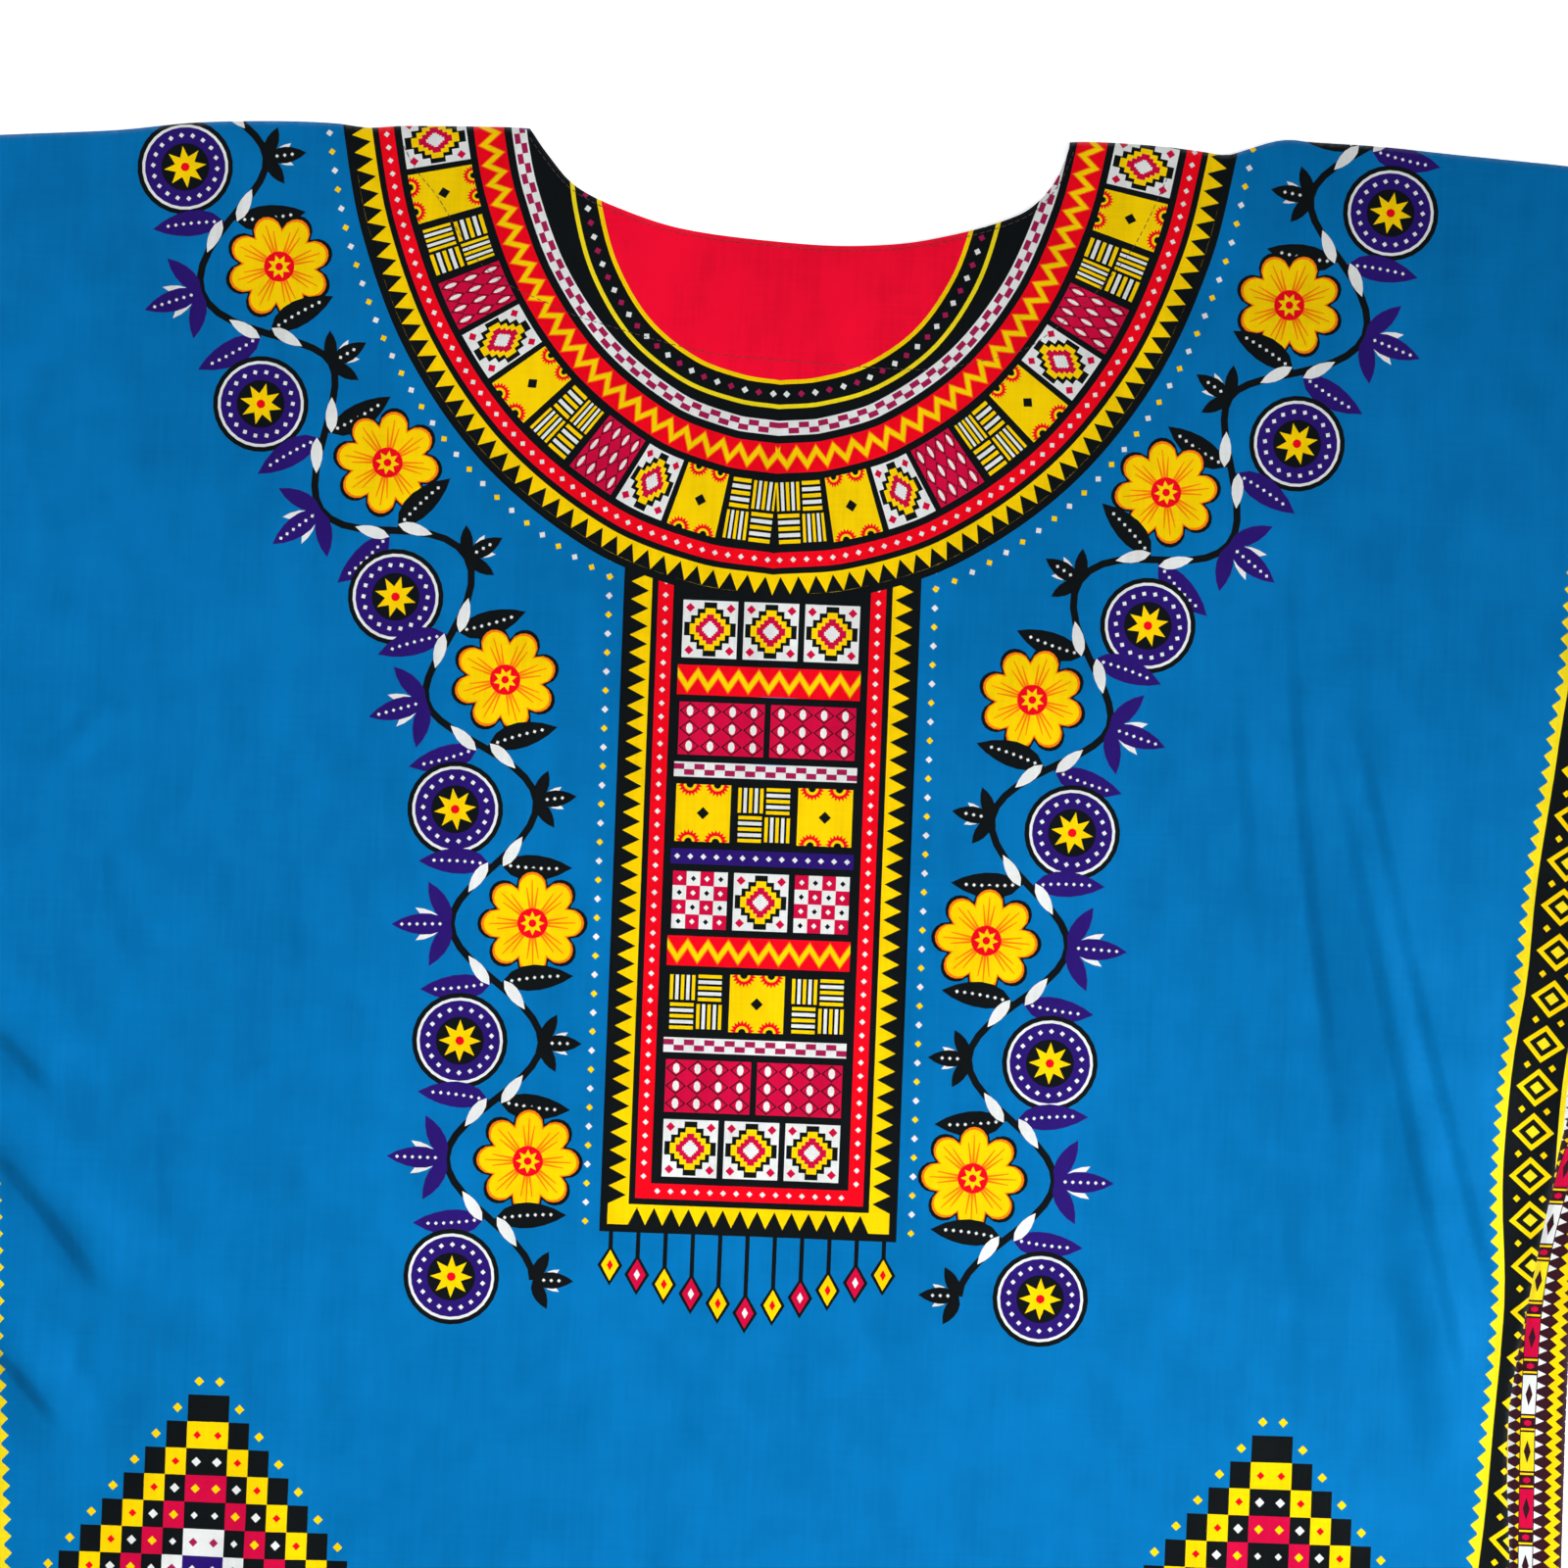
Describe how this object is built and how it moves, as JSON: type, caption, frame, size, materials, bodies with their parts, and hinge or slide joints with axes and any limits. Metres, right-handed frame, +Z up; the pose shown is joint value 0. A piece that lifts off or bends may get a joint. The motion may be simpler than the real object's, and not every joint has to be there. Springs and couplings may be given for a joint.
{
  "type": "dashiki shirt",
  "caption": "Loose printed cotton pullover shirt with wide cut-on sleeves and a shallow scooped neck, laid out flat with its front up.",
  "frame": {"origin": "middle of the laid shirt's box, on the surface that it lies on", "axes": "+X across the shirt, to the right when it is seen from above with its neck away from the viewer; +Y towards the neck; +Z up"},
  "size_m": [0.804, 0.7924, 0.0104],
  "materials": {
    "front_print": "plain-woven printed cotton, matte with a faint sheen",
    "back_print": "plain-woven printed cotton, matte with a faint sheen",
    "thread": "dark sewing thread"
  },
  "bodies": {
    "root": {"front_panel": "front_print", "back_panel": "back_print"}
  },
  "joints": []
}
